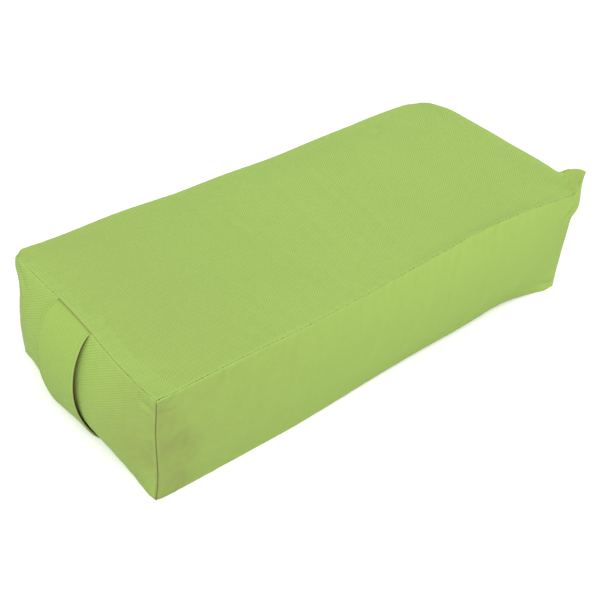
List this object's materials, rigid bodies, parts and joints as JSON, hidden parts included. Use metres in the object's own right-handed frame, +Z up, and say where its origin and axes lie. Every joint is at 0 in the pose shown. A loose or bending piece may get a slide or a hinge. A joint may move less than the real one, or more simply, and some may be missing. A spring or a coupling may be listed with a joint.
{
  "type": "rectangular meditation bolster",
  "caption": "Firm rectangular bolster cushion with a sewn box cover, a fabric carry strap on one end and a zip along one long side for taking out its stuffed liner.",
  "frame": {"origin": "middle of the underside, on the floor that the bolster rests on", "axes": "+X along the length, away from the end with the carry strap; +Y towards the long side with the zip; +Z up"},
  "size_m": [0.7004, 0.2978, 0.1823],
  "materials": {
    "cover_twill": "light green heavy cotton twill, matt",
    "strap_twill": "the cover's twill, folded double and stitched",
    "zip_tape": "woven tape, matt",
    "zip_teeth": "moulded, satin",
    "zip_metal": "plated, satin",
    "liner_cotton": "unbleached cotton calico, matt",
    "kapok": "loose plant fibre, matt"
  },
  "bodies": {
    "cushion": {"cover_top_panel": "cover_twill", "cover_bottom_panel": "cover_twill", "cover_front_panel": "cover_twill", "cover_rear_upper_strip": "cover_twill", "cover_rear_lower_strip": "cover_twill", "cover_handle_end_panel": "cover_twill", "cover_plain_end_panel": "cover_twill", "carry_strap": "strap_twill", "zip_tape_upper": "zip_tape", "zip_tape_lower": "zip_tape", "zip_teeth_upper": "zip_teeth", "zip_teeth_lower": "zip_teeth", "zip_bottom_stop": "zip_metal", "zip_top_stop_upper": "zip_metal", "zip_top_stop_lower": "zip_metal", "liner_top_panel": "liner_cotton", "liner_bottom_panel": "liner_cotton", "liner_front_panel": "liner_cotton", "liner_rear_panel": "liner_cotton", "liner_handle_end_panel": "liner_cotton", "liner_plain_end_panel": "liner_cotton", "kapok_filling": "kapok"},
    "zip_slider": {"zip_slider_body": "zip_metal"},
    "zip_pull": {"zip_pull_tab": "zip_metal"}
  },
  "joints": [
    {"name": "zip_slider_travel", "type": "slide", "parent": "cushion", "child": "zip_slider", "axis": [-1, 0, 0], "range_m": [0, 0.474], "deforming": ["zip_teeth_upper", "zip_teeth_lower"]},
    {"name": "zip_pull_swing", "type": "hinge", "parent": "zip_slider", "child": "zip_pull", "pos_m": [0.24055, 0.1477, 0.075], "axis": [0, 0, -1], "range_deg": [0, 165]}
  ]
}
